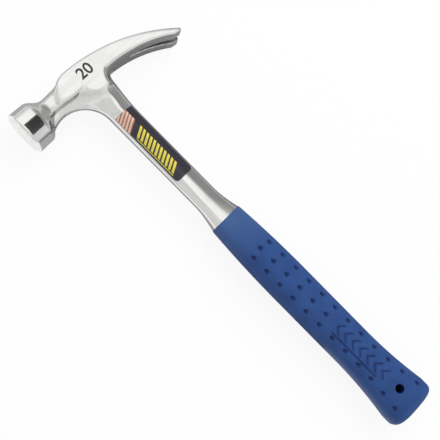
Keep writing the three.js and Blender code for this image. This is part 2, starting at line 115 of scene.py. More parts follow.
# Stage in metres, with the sensor in millimetres; each card has a name, a grey, a place and a size
SENSOR_WIDTH = 36.0
FLOOR_SIZE = 8.0
SHADOW_FADE = (0.25, 0.80)
MATT = 0.9
LAMP_PLACE = Vector((0.75, 0.15, 1.05))
LAMP_SIZE = 1.2
CARDS = (
    ("floor_card", 0.22, (0.16, -0.1075, 0.0005), (0.36, 0.485)),
    ("head_card", 0.45, (0.138, 0.15, 0.0004), (0.404, 0.50)),
    ("poll_flag", 0.08, (-0.0545, 0.1480, 0.038), (0.0160, 0.0184)),
    ("claw_card", 0.29, (0.047, 0.138, 0.0007), (0.062, 0.050)),
)

# Greys of the surround that the steel mirrors: the direction's start and end, and the level at each
CLAW_SIDE_GREY = (0.32, 0.70, 1.0, 0.26)
CLAW_SIDE_LIFT = (0.30, 0.46, 0.10, 0.0)
HORIZON_GREY = (0.05, 0.42, 0.52, 1.0)
POLL_SIDE_GREY = (-0.40, -0.12, 0.68, 1.0)
POLL_SIDE_END = (-0.30, -0.10, 1.0, 0.0)
BUTT_SIDE_GREY = (-0.55, -0.15, 0.72, 1.0)


def length(name, description, millimetres):
    """A length property that a user can change, given in millimetres."""
    return FloatProperty(
        name=name, description=description, default=millimetres * MM, unit="LENGTH", precision=4
    )


def share(name, description, default):
    """A plain number between 0 and 1 that a user can change."""
    return FloatProperty(name=name, description=description, default=default, min=0.0, max=1.0)


def colour(name, description, default):
    """A colour property in linear light."""
    return FloatVectorProperty(
        name=name, description=description, default=default, subtype="COLOR", min=0.0, max=1.0
    )


class PollSizes(bpy.types.PropertyGroup):
    """The turned barrel with the striking face."""

    face_reach: length("Face reach", "From the handle's axis to the striking face", 60.4)
    face_radius: length("Face radius", "Radius of the flat face inside the bevel", 14.2)
    bevel_length: length("Bevel length", "Length of the bevel round the face", 1.7)
    radius: length("Radius", "Radius of the barrel at the bevel", 16.3)
    back_radius: length("Back radius", "Radius of the barrel at the cove", 15.9)
    barrel: length("Barrel", "Length of the barrel with its bevel", 13.4)
    cove: length("Cove", "Length of the cove between barrel and neck", 13.1)
    cove_lead: length("Cove lead", "How far the cove keeps to the neck", 7.2)
    cove_exit: length("Cove exit", "How far the cove keeps to the barrel", 4.8)
    cove_lean: length("Cove lean", "How much the cove leans where it meets the barrel", 0.5)
    neck_radius: length("Neck radius", "Radius of the neck behind the barrel", 9.6)
    neck_lift: length("Neck lift", "How far the neck's middle lies above the poll's axis", 2.0)
    root_radius: length("Root radius", "Radius of the neck where it meets the cheek", 10.4)
    edge_radius: length("Edge radius", "Rounding of the edges beside the bevel", 0.5)


class CheekSizes(bpy.types.PropertyGroup):
    """The flat-sided block over the handle."""

    width: length("Width", "Across the two cheek flats", 24.6)
    front_width: length("Front width", "Width where the cheek sinks into the poll's neck", 15.0)
    front_reach: length("Front reach", "From the handle's axis to the cheek's front", 37.0)
    flat_reach: length("Flat reach", "From the handle's axis to the front of the flat", 18.0)
    front_drop: length("Front drop", "From the poll's axis down to the cheek's front corner", 2.0)
    edge_radius: length("Edge radius", "Rounding along the top of the cheek", 3.0)
    crown_height: length("Crown height", "Top of the head over the poll's axis", 12.0)
    crown_reach: length("Crown reach", "Where the top starts to fall to the poll", 12.0)
    shoulder_radius: length("Shoulder radius", "Radius of the fall from the crown to the neck", 20.0)


class ClawSizes(bpy.types.PropertyGroup):
    """The split claw."""

    reach: length("Reach", "From the handle's axis to the claw's end", 71.6)
    back_radius: length("Back radius", "Radius of the arc along the back", 128.0)
    under_radius: length("Under radius", "Radius of the arc along the underside", 95.0)
    under_drop: length("Under drop", "From the poll's axis down to the claw's root", 6.2)
    root_reach: length("Root reach", "Where the underside starts to sweep", 15.0)
    end_width: length("End width", "Width across both prongs at the end", 28.4)
    end_thickness: length("End thickness", "Thickness of the chisel end", 2.6)
    chisel: length("Chisel", "Length of the chisel bevel", 9.0)
    edge_radius: length("Edge radius", "Rounding along the claw", 2.2)
    slot: length("Slot", "Length of the nail slot", 38.0)
    slot_end_width: length("Slot end width", "Width of the slot at the claw's end", 8.6)
    slot_root_radius: length("Slot root radius", "Radius of the round root of the slot", 0.7)


class ShankSizes(bpy.types.PropertyGroup):
    """The ridged neck and shank, and the tang inside the sleeve."""

    width: length("Width", "Width of the neck and shank", 19.2)
    neck_thickness: length("Neck thickness", "Thickness at the ridge below the cheek", 16.0)
    neck_edge: length("Neck edge", "Thickness at the edges below the cheek", 7.0)
    cove: length("Cove", "Length of the rise from the neck to the cheek flat", 18.0)
    arch_radius: length("Arch radius", "Radius of the arch under the poll's neck", 22.0)
    arch_cove: length("Arch cove", "Width of the cove along the arch at the shank", 13.0)
    poll_cove: length("Poll cove", "Width of the cove along the arch under the poll", 6.0)
    rim: length("Rim", "Thickness of the rim along the arch under the poll", 9.0)
    rim_start: length("Rim start", "From the handle's axis to where that rim starts to thicken", 34.0)
    rim_end: length("Rim end", "From the handle's axis to where it is as thick as the cheek", 6.0)
    skirt: length("Skirt", "How far the cheek flat runs down the neck", 7.0)
    fillet_radius: length("Fillet radius", "Radius between the claw and the neck", 7.0)
    fillet_taper: length("Fillet taper", "How much the neck widens towards the claw", 2.0)
    taper_length: length("Taper length", "Length over which the neck widens", 34.0)
    ridge_sweep: length("Ridge sweep", "How far the ridge swings to the claw at the cheek", 11.0)
    ridge_lean: length("Ridge lean", "How far the ridge runs to the poll's side down the shank", 3.4)
    sweep_length: length("Sweep length", "Length over which the ridge swings", 8.0)
    sweep_drop: length("Sweep drop", "From the claw's root down to the end of the swing", 5.8)
    corner_facet: length("Corner facet", "Width of the facet in the corner under the claw", 5.4)
    corner_edge: length("Corner edge", "Thickness at the foot of that facet", 12.0)
    ridge_softness: share("Ridge softness", "Roundness of the ridge", 0.15)
    thickness: length("Thickness", "Thickness at the ridge above the flare", 11.5)
    edge: length("Edge", "Thickness at the edges above the flare", 6.0)
    flare: length("Flare", "Length of the flare above the sleeve", 21.0)
    shoulder_width: length("Shoulder width", "Width of the flat that meets the sleeve", 25.0)
    shoulder_thickness: length("Shoulder thickness", "Thickness of that flat", 17.6)
    tang_width: length("Tang width", "Width of the bar inside the sleeve at its root", 19.0)
    tang_end_width: length("Tang end width", "Width of that bar at its end", 16.0)
    tang_thickness: length("Tang thickness", "Thickness of that bar", 10.0)
    tang_length: length("Tang length", "How deep the bar goes into the sleeve", 155.0)
    channel_width: length("Channel width", "Width of the channel along each side of the bar", 9.0)
    channel_depth: length("Channel depth", "Depth of that channel", 2.6)
    channel_margin: length("Channel margin", "Full bar left at each end of the channel", 12.0)
    clearance: length("Clearance", "Space between the tang and the sleeve", 0.3)
    joint: length("Joint", "How far the steel's shoulder goes on into the sleeve's mouth", 1.5)


class SleeveSizes(bpy.types.PropertyGroup):
    """The moulded sleeve with its pits."""

    top_width: length("Top width", "Width at the shank", 25.4)
    top_thickness: length("Top thickness", "Thickness at the shank", 18.4)
    palm_width: length("Palm width", "Width in the palm", 29.8)
    palm_thickness: length("Palm thickness", "Thickness in the palm", 25.0)
    butt_width: length("Butt width", "Width at the butt", 37.6)
    butt_thickness: length("Butt thickness", "Thickness at the butt", 28.0)
    palm_start: length("Palm start", "From the top to where the palm is full", 64.0)
    butt_flare: length("Butt flare", "Length of the flare to the butt", 50.0)
    butt: length("Butt", "Length of the butt below the flare", 11.0)
    butt_corner: length("Butt corner", "Rounding of the butt's rim", 3.2)
    butt_crown: length("Butt crown", "How far the end bulges", 1.4)
    top_edge: length("Top edge", "Rounding of the edge at the shank", 0.4)
    squareness: FloatProperty(
        name="Squareness", description="Power of the squared oval section", default=2.7, min=2.0
    )
    hole_radius: length("Hole radius", "Radius of the hang hole", 3.0)
    hole_edge: length("Hole edge", "Rounding of the hang hole's rim", 0.5)
    pit_width: length("Pit width", "Width of a grip pit at its foot", 4.4)
    pit_length: length("Pit length", "Length of a grip pit along the handle", 4.6)
    pit_depth: length("Pit depth", "Depth of a grip pit at its steep end", 1.7)
    pit_pitch: length("Pit pitch", "From one pit to the next in a row", 12.8)
    pit_row_inset: length("Pit row inset", "From the sleeve's side to the outer rows", 6.3)
    pit_first: length("First pit", "From the sleeve's top to the first pits", 33.0)
    middle_lead: length("Middle lead", "How much higher the middle row starts", 1.6)
    side_pits: IntProperty(name="Side pits", description="Pits in each outer row", default=12, min=0)
    middle_pits: IntProperty(
        name="Middle pits", description="Pits in the middle row", default=6, min=0
    )
    chevrons: IntProperty(name="Chevrons", description="Pressed chevrons", default=7, min=0)
    chevron_pitch: length("Chevron pitch", "From one pressed chevron to the next", 7.2)
    chevron_width: length("Chevron width", "Width of a pressed chevron", 9.0)
    chevron_stroke: length("Chevron stroke", "Width of a chevron's groove", 1.3)
    chevron_depth: length("Chevron depth", "Depth of a chevron's groove", 0.7)
    chevron_start: length("Chevron start", "From the sleeve's top to the first chevron", 107.0)


class LabelSizes(bpy.types.PropertyGroup):
    """The printed film on the neck and the weight number on the cheek."""

    corner: length("Corner", "Radius of the film's corners at the sleeve's end", 3.0)
    head_corner: length("Head corner", "Radius of the film's corners at the head's end", 0.6)
    lift: length("Lift", "Space between the steel and the film", 0.06)
    thickness: length("Thickness", "Thickness of the film", 0.12)
    bands: length("Bands", "Length of the banded end", 15.0)
    bar_pitch: length("Bar pitch", "From one slanted bar to the next", 3.4)
    band_pitch: length("Band pitch", "From one pale band to the next", 2.8)
    slant: share("Slant", "Slant of the bars and bands", 0.55)
    bar_share: share("Bar share", "Share of its pitch that a bar fills", 0.6)
    band_share: share("Band share", "Share of its pitch that a red band fills", 0.45)
    bar_inset: length("Bar inset", "From the film's side to the near ends of the bars", 2.2)
    bar_reach: length("Bar reach", "From the film's side to the far ends of bars and bands", 9.6)
    rule_inset: length("Rule inset", "From the film's side to the thin line", 1.35)
    rule_half: length("Rule half", "Half the width of the thin line", 0.25)
    first_bar: FloatProperty(
        name="First bar", description="Where the bars start, in pitches", default=6.0
    )
    last_bar: FloatProperty(
        name="Last bar", description="Where the bars end, in pitches", default=16.7
    )
    number_height: length("Number height", "Height of the weight number", 8.6)
    number_thickness: length("Number thickness", "Height of the number's ink", 0.1)


class FinishColours(bpy.types.PropertyGroup):
    """Colours of the surfaces, in linear light."""

    steel: colour("Steel", "Polished forged steel", (0.93, 0.925, 0.915))
    vinyl: colour("Vinyl", "Blue of the moulded sleeve", (0.026, 0.078, 0.262))
    vinyl_dark: colour("Dark vinyl", "Blue in the clouds of the sleeve", (0.021, 0.064, 0.215))
    struck: colour("Struck steel", "Duller steel at the worn face and claw", (0.70, 0.695, 0.685))
    slot: colour("Nail slot", "Unpolished steel inside the nail slot", (0.22, 0.22, 0.225))
    # Painted highlight along the butt's rim; the top of the sleeve also grows paler towards this blue.
    vinyl_brightened: colour("Rubbed vinyl", "Paler blue of the rubbed ends", (0.068, 0.136, 0.315))
    # Painted shade in the hollows: the pits, the chevron grooves and the hang hole darken towards this
    # blue with depth.
    vinyl_painted_shade: colour("Hollow vinyl", "Blue deep in the pits", (0.006, 0.020, 0.105))
    film: colour("Film", "Ground of the printed film", (0.030, 0.028, 0.040))
    film_worn: colour("Worn film", "Paler film along its worn edges", (0.13, 0.128, 0.136))
    yellow: colour("Yellow", "Slanted bars on the film", (0.80, 0.68, 0.08))
    cream: colour("Cream", "Light bands on the film", (0.78, 0.58, 0.46))
    rust: colour("Rust", "Red bands on the film", (0.42, 0.16, 0.10))
    ink: colour("Ink", "The weight number", (0.035, 0.034, 0.034))
    floor: colour("Floor", "Pale floor", (0.97, 0.97, 0.97))


class StudioSettings(bpy.types.PropertyGroup):
    """Camera and light."""

    lens: FloatProperty(
        name="Lens", description="Focal length on a 36 mm sensor, in millimetres", default=66.6
    )
    lean: FloatProperty(
        name="Lean", description="Lean of the camera to the poll's side",
        default=math.radians(14.0), subtype="ANGLE",
    )
    roll: FloatProperty(
        name="Roll", description="Turn of the picture about the line of sight",
        default=math.radians(45.4), subtype="ANGLE",
    )
    distance: length("Distance", "From the camera to the middle of the view", 570.0)
    target: FloatVectorProperty(
        name="Target", description="Middle of the view",
        default=(-9.1 * MM, 18.35 * MM, 16.3 * MM), subtype="XYZ", unit="LENGTH", precision=5,
    )
    fill: FloatProperty(name="Fill", description="Strength of the even light", default=0.6, min=0.0)
    shadow: share("Shadow", "How much of the shadow on the floor shows", 0.10)
    key_power: FloatProperty(
        name="Key power", description="Power of the overhead lamp", default=10.0, unit="POWER"
    )


SETTINGS = {
    "hammer_poll": PollSizes,
    "hammer_cheek": CheekSizes,
    "hammer_claw": ClawSizes,
    "hammer_shank": ShankSizes,
    "hammer_sleeve": SleeveSizes,
    "hammer_label": LabelSizes,
    "hammer_finish": FinishColours,
    "hammer_studio": StudioSettings,
}


# Shapes as fields: below zero inside the solid, above zero outside, about a distance near the surface


def progress(value, start, end):
    """Share of the way from start to end, held at both."""
    return np.clip((value - start) / (end - start), 0.0, 1.0)


def ease_in(way):
    """Rise of a quarter arc that starts level."""
    return 1.0 - np.cos(way * math.pi / 2)


def mix(start, end, way):
    """Value part of the way from start to end."""
    return start + (end - start) * way


def common(first, second, radius):
    """What two solids share, with the edge between their faces rounded."""
    inner = np.minimum(np.maximum(first, second), -radius)
    return inner + np.hypot(np.maximum(first + radius, 0.0), np.maximum(second + radius, 0.0))


def joined(first, second, radius):
    """Two solids as one, with a fillet along the join."""
    outer = np.maximum(np.minimum(first, second), radius)
    return outer - np.hypot(np.maximum(radius - first, 0.0), np.maximum(radius - second, 0.0))


class Grid:
    """Evenly spaced points about the hammer's mid plane, which is at height 0."""

    def __init__(self, low, high, pitch):
        self.low = np.array(low)
        self.pitch = pitch
        counts = [math.ceil((end - start) / pitch) + 1 for start, end in zip(low, high)]
        axes = [start + pitch * np.arange(count) for start, count in zip(low, counts)]
        self.x = axes[0].astype(np.float32)[:, None, None]
        self.y = axes[1].astype(np.float32)[None, :, None]
        self.z = axes[2].astype(np.float32)[None, None, :]

    def skin(self, field, both_sides):
        """Points and four-sided faces on the field's zero level."""
        low = self.low.copy()
        if both_sides:
            field = np.concatenate([field[:, :, :0:-1], field], axis=2)
            low[2] = -self.pitch * (self.z.size - 1)
        volume = openvdb.FloatGrid()
        volume.copyFromArray(np.ascontiguousarray(field, dtype=np.float32))
        points, quads = volume.convertToQuads(isovalue=0.0)
        return low + points * self.pitch, quads


class Points:
    """Loose points that a field can be read at."""

    def __init__(self, points):
        self.x, self.y, self.z = points.T


def soften(field, cells):
    """Field with its edges rounded by a bell-shaped blur of that many cells."""
    reach = math.ceil(cells * 2.5)
    weights = np.exp(-0.5 * (np.arange(-reach, reach + 1) / cells) ** 2)
    weights = (weights / weights.sum()).astype(np.float32)
    for axis in range(3):
        padding = [(reach, reach) if other == axis else (0, 0) for other in range(3)]
        mode = "reflect" if axis == 2 else "edge"
        padded = np.pad(field, padding, mode=mode)
        count = field.shape[axis]
        parts = [slice(None)] * 3
        total = np.zeros_like(field)
        for step, weight in enumerate(weights):
            parts[axis] = slice(step, step + count)
            total += weight * padded[tuple(parts)]
        field = total
    return field


def head_origin(context):
    """Where the poll's axis crosses the handle's axis, on the mid plane."""
    return FACE_PLACE + Vector((context.scene.hammer_poll.face_reach, 0.0, 0.0))


def poll_field(grid, poll):
    """The barrel with its bevelled face and cove, and the neck, which stands a little above the axis."""
    back = poll.face_reach - poll.barrel
    neck_end = back - poll.cove
    way = np.linspace(0.0, 1.0, CURVE_STEPS)
    handles = [
        (neck_end, poll.neck_radius),
        (neck_end + poll.cove_lead, poll.neck_radius),
        (back - poll.cove_exit, poll.back_radius - poll.cove_lean),
        (back, poll.back_radius),
    ]
    curve = sum(
        math.comb(3, i) * way[:, None] ** i * (1 - way[:, None]) ** (3 - i) * np.array(handle)
        for i, handle in enumerate(handles)
    )
    reaches = np.concatenate([[0.0, neck_end - poll.cove], curve[:, 0], [poll.face_reach]])
    radii = np.concatenate([[poll.root_radius, poll.root_radius], curve[:, 1], [poll.radius]])
    slopes = np.gradient(radii, reaches)
    reach = -grid.x
    radius = np.interp(reach, reaches, radii)
    slope = np.interp(reach, reaches, slopes)
    lift = poll.neck_lift * (1 - progress(radius, poll.neck_radius, poll.back_radius))
    out = np.hypot((grid.y - lift) * radius / (radius - lift), grid.z)
    side = (out - radius) / np.sqrt(1 + slope**2)
    drop = poll.radius - poll.face_radius
    bevel = (reach - poll.face_reach + poll.bevel_length) * drop
    bevel = (bevel + (out - poll.radius) * poll.bevel_length) / math.hypot(drop, poll.bevel_length)
    barrel = common(side, bevel, poll.edge_radius)
    barrel = common(barrel, reach - poll.face_reach + 0 * out, poll.edge_radius)
    return np.maximum(barrel, -reach)


def cheek_half(x, cheek):
    """Half width of the cheek, which sinks into the poll's neck at its front."""
    front = np.sin(progress(-x, cheek.front_reach, cheek.flat_reach) * math.pi / 2)
    return mix(cheek.front_width, cheek.width, front) / 2


def head_field(grid, cheek, claw):
    """Cheek and split claw, between the arcs of the back and the underside."""
    x, y = grid.x, grid.y
    back_x = -cheek.crown_reach
    back_y = cheek.crown_height - claw.back_radius
    ahead = np.clip(back_x - x, 0.0, SHOULDER_SHARE * cheek.shoulder_radius)
    level = np.sqrt(cheek.shoulder_radius**2 - ahead**2)
    top = np.hypot(x - back_x, y - back_y) - claw.back_radius + cheek.shoulder_radius - level
    top = top * level / cheek.shoulder_radius
    under_y = -claw.under_drop - claw.under_radius
    swept = claw.under_radius - np.hypot(x - claw.root_reach, y - under_y)
    drop = mix(cheek.front_drop, claw.under_drop, progress(-x, cheek.front_reach, cheek.flat_reach))
    under = np.where(x < claw.root_reach, -drop - y, swept)

    end_angle = math.asin((claw.reach - back_x) / claw.back_radius)
    sin, cos = math.sin(end_angle), math.cos(end_angle)
    tip = Vector((back_x + claw.back_radius * sin, back_y + claw.back_radius * cos))
    end = (x - tip.x) * cos - (y - tip.y) * sin
    heel_x = tip.x - claw.chisel * cos
    heel_y = under_y + math.sqrt(claw.under_radius**2 - (heel_x - claw.root_reach) ** 2)
    toe = tip - claw.end_thickness * Vector((sin, cos))
    slope = (toe - Vector((heel_x, heel_y))).normalized()
    chisel = (x - toe.x) * slope.y - (y - toe.y) * slope.x
    outline = np.maximum(np.maximum(top, under), np.maximum(end, chisel))

    sweep = progress(x, claw.root_reach, claw.reach)
    half = mix(cheek_half(x, cheek), claw.end_width / 2, sweep)
    edge = mix(cheek.edge_radius, claw.edge_radius, sweep).astype(np.float32)
    body = common(outline, grid.z - half, edge)
    body = np.maximum(body, -x - cheek.front_reach)

    slot_angle = end_angle - claw.slot / 2 / claw.back_radius
    inward = (tip.x - x) * math.cos(slot_angle) - (tip.y - y) * math.sin(slot_angle)
    narrowing = (claw.slot_end_width / 2 - claw.slot_root_radius) / claw.slot
    gap = (grid.z - claw.slot_end_width / 2 + narrowing * inward) / math.hypot(1.0, narrowing)
    root = np.hypot(inward - claw.slot, grid.z) - claw.slot_root_radius
    slot = np.where(inward < claw.slot, gap, root)
    return common(body, -slot, SLOT_EDGE)


class Shank:
    """Places and heights along the neck and shank."""

    def __init__(self, poll, cheek, claw, shank, shoulder_y):
        self.cheek = cheek
        self.sizes = shank
        self.shoulder_y = shoulder_y
        self.flare_y = shoulder_y + shank.flare
        self.top_y = -claw.under_drop
        self.skirt_y = self.top_y - shank.skirt
        self.cove_y = self.skirt_y - shank.cove
        self.arch_y = -poll.neck_radius - shank.arch_radius
        self.arch_x = -shank.width / 2 - shank.arch_radius
        self.poll_x = poll.barrel - poll.face_reach + POLL_GAP
        self.fillet_y = self.top_y - shank.fillet_radius
        self.fillet_x = shank.width / 2 + shank.fillet_taper + shank.fillet_radius

    def sides(self, y):
        """Half widths to the poll's side and to the claw's side."""
        s = self.sizes
        flare = (s.shoulder_width - s.width) / 2 * ease_in(progress(y, self.flare_y, self.shoulder_y))
        rise = np.clip(y - self.arch_y, 0.0, ARC_SHARE * s.arch_radius)
        arch = s.arch_radius - np.sqrt(s.arch_radius**2 - rise**2)
        taper_y = self.fillet_y - s.taper_length
        taper = s.fillet_taper * ease_in(progress(y, taper_y, self.fillet_y))
        rise = np.clip(y - self.fillet_y, 0.0, ARC_SHARE * s.fillet_radius)
        fillet = s.fillet_radius - np.sqrt(s.fillet_radius**2 - rise**2)
        half = s.width / 2 + flare
        return half + arch, half + taper + fillet

    def slope(self, way):
        """Rise of a facet from the edge to the softly rounded ridge."""
        softness = self.sizes.ridge_softness
        foot = math.hypot(1.0, softness)
        return (foot - np.hypot(1 - np.clip(way, 0.0, 1.0), softness)) / (foot - softness)

    def face(self, x, y):
        """Height of the upper face over the mid plane, and half the thickness at the edges."""
        s = self.sizes
        to_poll, to_claw = self.sides(y)
        down = progress(y, self.cove_y, self.flare_y)
        flare = ease_in(progress(y, self.flare_y, self.shoulder_y))
        head = progress(y, self.cove_y, self.skirt_y)
        bar = mix(s.neck_thickness, s.thickness, down)
        ridge = bar + (self.cheek.width - s.neck_thickness) * ease_in(head)
        ridge = (ridge + (s.shoulder_thickness - bar) * flare) / 2
        edge = mix(s.neck_edge, s.edge, down) + (s.shoulder_thickness - s.thickness) * flare
        edge = edge / 2
        sweep_y = self.top_y - s.sweep_drop
        ridge_x = s.ridge_sweep * ease_in(progress(y, sweep_y - s.sweep_length, sweep_y))
        ridge_x = ridge_x - s.ridge_lean * ease_in(progress(y, self.cove_y, self.flare_y))
        from_claw = np.hypot(x - self.fillet_x, y - self.fillet_y) - s.fillet_radius
        from_claw = np.where(y > self.fillet_y, from_claw, to_claw - x)
        up_fillet = np.arctan2(y - self.fillet_y, np.maximum(self.fillet_x - x, 0.01 * MM))
        corner = progress(up_fillet, 0.0, math.pi / 2)
        claw_run = np.maximum(to_claw - ridge_x, s.corner_facet)
        claw_run = mix(np.minimum(claw_run, to_claw), self.cheek.edge_radius, corner)
        claw_edge = mix(edge, s.corner_edge / 2, progress(y, self.cove_y, self.fillet_y))
        claw_edge = mix(claw_edge, self.cheek.width / 2 - self.cheek.edge_radius, corner)
        claw_rise = self.slope(from_claw / claw_run)
        inward = x + to_poll
        poll_rise = self.slope(inward / (ridge_x + to_poll))
        from_arch = np.hypot(x - self.arch_x, y - self.arch_y) - s.arch_radius
        from_arch = np.where(y > self.arch_y, from_arch, inward)
        turn = np.arctan2(y - self.arch_y, x - self.arch_x)
        cove_run = mix(s.arch_cove, s.poll_cove, progress(turn, *ARCH_COVE_TURN))
        cove = ease_in(progress(from_arch, 0.0, cove_run))
        rim = mix(s.rim, self.cheek.width, progress(-x, s.rim_start, s.rim_end)) / 2
        crest = np.minimum(ridge, rim)
        poll_face = mix(edge, crest, mix(poll_rise, cove, head))
        return np.minimum(poll_face, mix(claw_edge, crest, claw_rise)), edge

    def field(self, grid):
        """The neck and shank from inside the cheek down to the flat that meets the sleeve."""
        s = self.sizes
        x, y = grid.x, grid.y
        to_poll, to_claw = self.sides(y)
        arch = s.arch_radius - np.hypot(x - self.arch_x, y - self.arch_y)
        poll_side = np.where(y > self.arch_y, arch, -to_poll - x)
        fillet = s.fillet_radius - np.hypot(x - self.fillet_x, y - self.fillet_y)
        claw_side = np.where(y > self.fillet_y, fillet, x - to_claw)
        claw_side = np.where(x > self.fillet_x, self.top_y - y, claw_side)
        past_head = np.maximum(self.poll_x - x, x - self.fillet_x)
        height, edge = self.face(x, y)
        steep = np.sqrt(1 + sum(slope**2 for slope in np.gradient(height[:, :, 0], grid.pitch)))
        over = (grid.z - height) / steep[:, :, None]
        bar = common(over, np.maximum(poll_side, claw_side), BAR_EDGE_SHARE * edge)
        ends = np.maximum(np.maximum(y, self.shoulder_y - s.joint - y), past_head)
        return np.maximum(bar, ends)


def tang_field(grid, shank, top_y, grow):
    """The bar inside the sleeve with a channel along each side, grown all round."""
    end_y = top_y - shank.tang_length
    half = mix(shank.tang_end_width, shank.tang_width, progress(grid.y, end_y, top_y)) / 2
    over = grid.z - shank.tang_thickness / 2 - grow
    side = common(np.abs(grid.x) - half - grow, over, TANG_EDGE)
    bar = np.maximum(side, end_y - grow - grid.y)
    radius = shank.channel_width / 2
    low = end_y + shank.channel_margin + radius
    high = top_y - shank.channel_margin - radius
    along = grid.y - np.clip(grid.y, low, high)
    channel = np.hypot(grid.x, along) - radius + grow
    floor = shank.tang_thickness / 2 - shank.channel_depth + grow - grid.z
    return np.maximum(bar, -np.maximum(channel, floor))


class Sleeve:
    """Sizes of the moulded sleeve along the handle, in the head's frame."""

    def __init__(self, sizes, low_y, high_y):
        self.sizes = sizes
        self.low_y = low_y
        self.high_y = high_y

    def halves(self, y):
        """Half width and half thickness."""
        s = self.sizes
        swell = 1 - (1 - progress(y, self.high_y, self.high_y - s.palm_start)) ** 2
        butt_y = self.low_y + s.butt
        flare = progress(y, butt_y + s.butt_flare, butt_y) ** 2
        width = mix(s.top_width, s.palm_width, swell) + (s.butt_width - s.palm_width) * flare
        thickness = mix(s.top_thickness, s.palm_thickness, swell)
        thickness = thickness + (s.butt_thickness - s.palm_thickness) * flare
        return width / 2, thickness / 2

    def face(self, x, y):
        """Height of the upper face over the mid plane."""
        half, thick = self.halves(y)
        power = self.sizes.squareness
        return thick * np.maximum(1 - np.abs(x / half) ** power, 0.0) ** (1 / power)

    def body_field(self, grid):
        """The squared oval with a rounded, crowned butt and a cut top."""
        s = self.sizes
        half, thick = self.halves(grid.y)
        power = s.squareness
        across = np.abs(grid.x) / half
        up = np.abs(grid.z) / thick
        size = (across**power + up**power) ** (1 / power) + 1e-6
        steep = np.hypot(across ** (power - 1) / half, up ** (power - 1) / thick)
        side = (size - 1) * size ** (power - 1) / (steep + 1e-3)
        butt = self.low_y + s.butt_crown * np.minimum(size, 1.2) ** 2 - grid.y
        body = common(side, butt, s.butt_corner)
        return common(body, grid.y - self.high_y + 0 * side, s.top_edge)

    def pit_places(self):
        """Where the pits lie on one face, across and along the handle."""
        s = self.sizes
        for row, count, lead in (
            (-1, s.side_pits, 0.0),
            (0, s.middle_pits, s.middle_lead),
            (1, s.side_pits, 0.0),
        ):
            for i in range(count):
                y = self.high_y - s.pit_first + lead - i * s.pit_pitch
                yield row * (float(self.halves(y)[0]) - s.pit_row_inset), y

    def pit_hollow(self, grid, x, y, near):
        """One pit: a scoop with its point to the head, steep there and running out to the butt."""
        s = self.sizes
        rise = float(self.face(x + s.pit_width / 2, y) - self.face(x - s.pit_width / 2, y))
        lean = math.atan2(rise, s.pit_width)
        across = (grid.x[near[0]] - x) * math.cos(lean)
        across = across + (grid.z - float(self.face(x, y))) * math.sin(lean)
        out = (grid.z - float(self.face(x, y))) * math.cos(lean)
        out = out - (grid.x[near[0]] - x) * math.sin(lean)
        along = grid.y[:, near[1]] - y
        foot = progress(along, s.pit_length / 2, -s.pit_length / 2)
        side = np.abs(across) - s.pit_width / 2 * np.sqrt(foot) - PIT_DRAFT * out
        side = np.maximum(side, -along - s.pit_length / 2)
        point = along - s.pit_length / 2 - PIT_DRAFT * out
        floor = -s.pit_depth * (1 - foot) ** PIT_FLOOR_POWER - out
        return common(common(side * PIT_SIDE_SLOPE, point, PIT_POINT_EDGE), floor, PIT_FLOOR_EDGE)

    def field(self, grid, shank, top_side):
        """The whole sleeve on one side of the mid plane, with its pocket, hole, pits and chevrons."""
        s = self.sizes
        body = self.body_field(grid)
        hole_y = (HOLE_LOW.y + HOLE_HIGH.y) / 2 - FACE_PLACE.y
        hole = np.hypot(grid.x, grid.y - hole_y) - s.hole_radius
        body = common(body, -hole + 0 * grid.z, s.hole_edge)
        reach = 2 * s.pit_width
        for x, y in self.pit_places():
            near = (
                np.flatnonzero(np.abs(grid.x[:, 0, 0] - x) < reach),
                np.flatnonzero(np.abs(grid.y[0, :, 0] - y) < reach),
            )
            block = np.ix_(*near)
            hollow = self.pit_hollow(grid, x, y, near)
            body[block] = common(body[block], -hollow, PIT_RIM_EDGE)
        if top_side:
            body = common(body, -self.chevron_hollow(grid), CHEVRON_RIM_EDGE)
        return np.maximum(body, -tang_field(grid, shank, self.high_y, shank.clearance))

    def chevron_hollow(self, grid):
        """A row of shallow grooves like arrow heads beside a line, pressed into the upper face."""
        s = self.sizes
        start = self.high_y - s.chevron_start
        along = start - grid.y - np.abs(grid.x)
        number = np.clip(np.round(along / s.chevron_pitch), 0, s.chevrons - 1)
        stroke = np.abs(along - number * s.chevron_pitch) / math.sqrt(2) - s.chevron_stroke / 2
        groove = np.maximum(stroke, np.abs(grid.x) - s.chevron_width / 2)
        middle = start - (s.chevrons - 1) / 2 * s.chevron_pitch
        line = np.abs(grid.y - middle) - (s.chevrons - 1) / 2 * s.chevron_pitch
        beside = np.abs(grid.x + s.chevron_width / 2 + CHEVRON_LINE_GAP) - s.chevron_stroke / 2
        groove = np.minimum(groove, np.maximum(line, beside))
        floor = self.face(grid.x, grid.y) - s.chevron_depth - grid.z
        return common(groove, floor, CHEVRON_FLOOR_EDGE)


# Meshes


def mesh_object(name, points, faces, material):
    """A smooth-shaded object with one material."""
    mesh = bpy.data.meshes.new(name)
    mesh.from_pydata(points, [], faces)
    mesh.validate()
    mesh.materials.append(material)
    mesh.shade_smooth()
    piece = bpy.data.objects.new(name, mesh)
    bpy.context.scene.collection.objects.link(piece)
    return piece


def flat_mesh(name, width, depth):
    """A level rectangle about its own middle."""
    x, y = width / 2, depth / 2
    corners = [(-x, -y, 0.0), (x, -y, 0.0), (x, y, 0.0), (-x, y, 0.0)]
    mesh = bpy.data.meshes.new(name)
    mesh.from_pydata(corners, [], [(0, 1, 2, 3)])
    return mesh


def outward(points, quads):
    """Faces turned so that the solid that they bound has a volume above zero."""
    corners = points[quads]
    flow = np.einsum("ij,ij->i", corners[:, 0], np.cross(corners[:, 1], corners[:, 2]))
    return quads if flow.sum() > 0 else quads[:, ::-1]


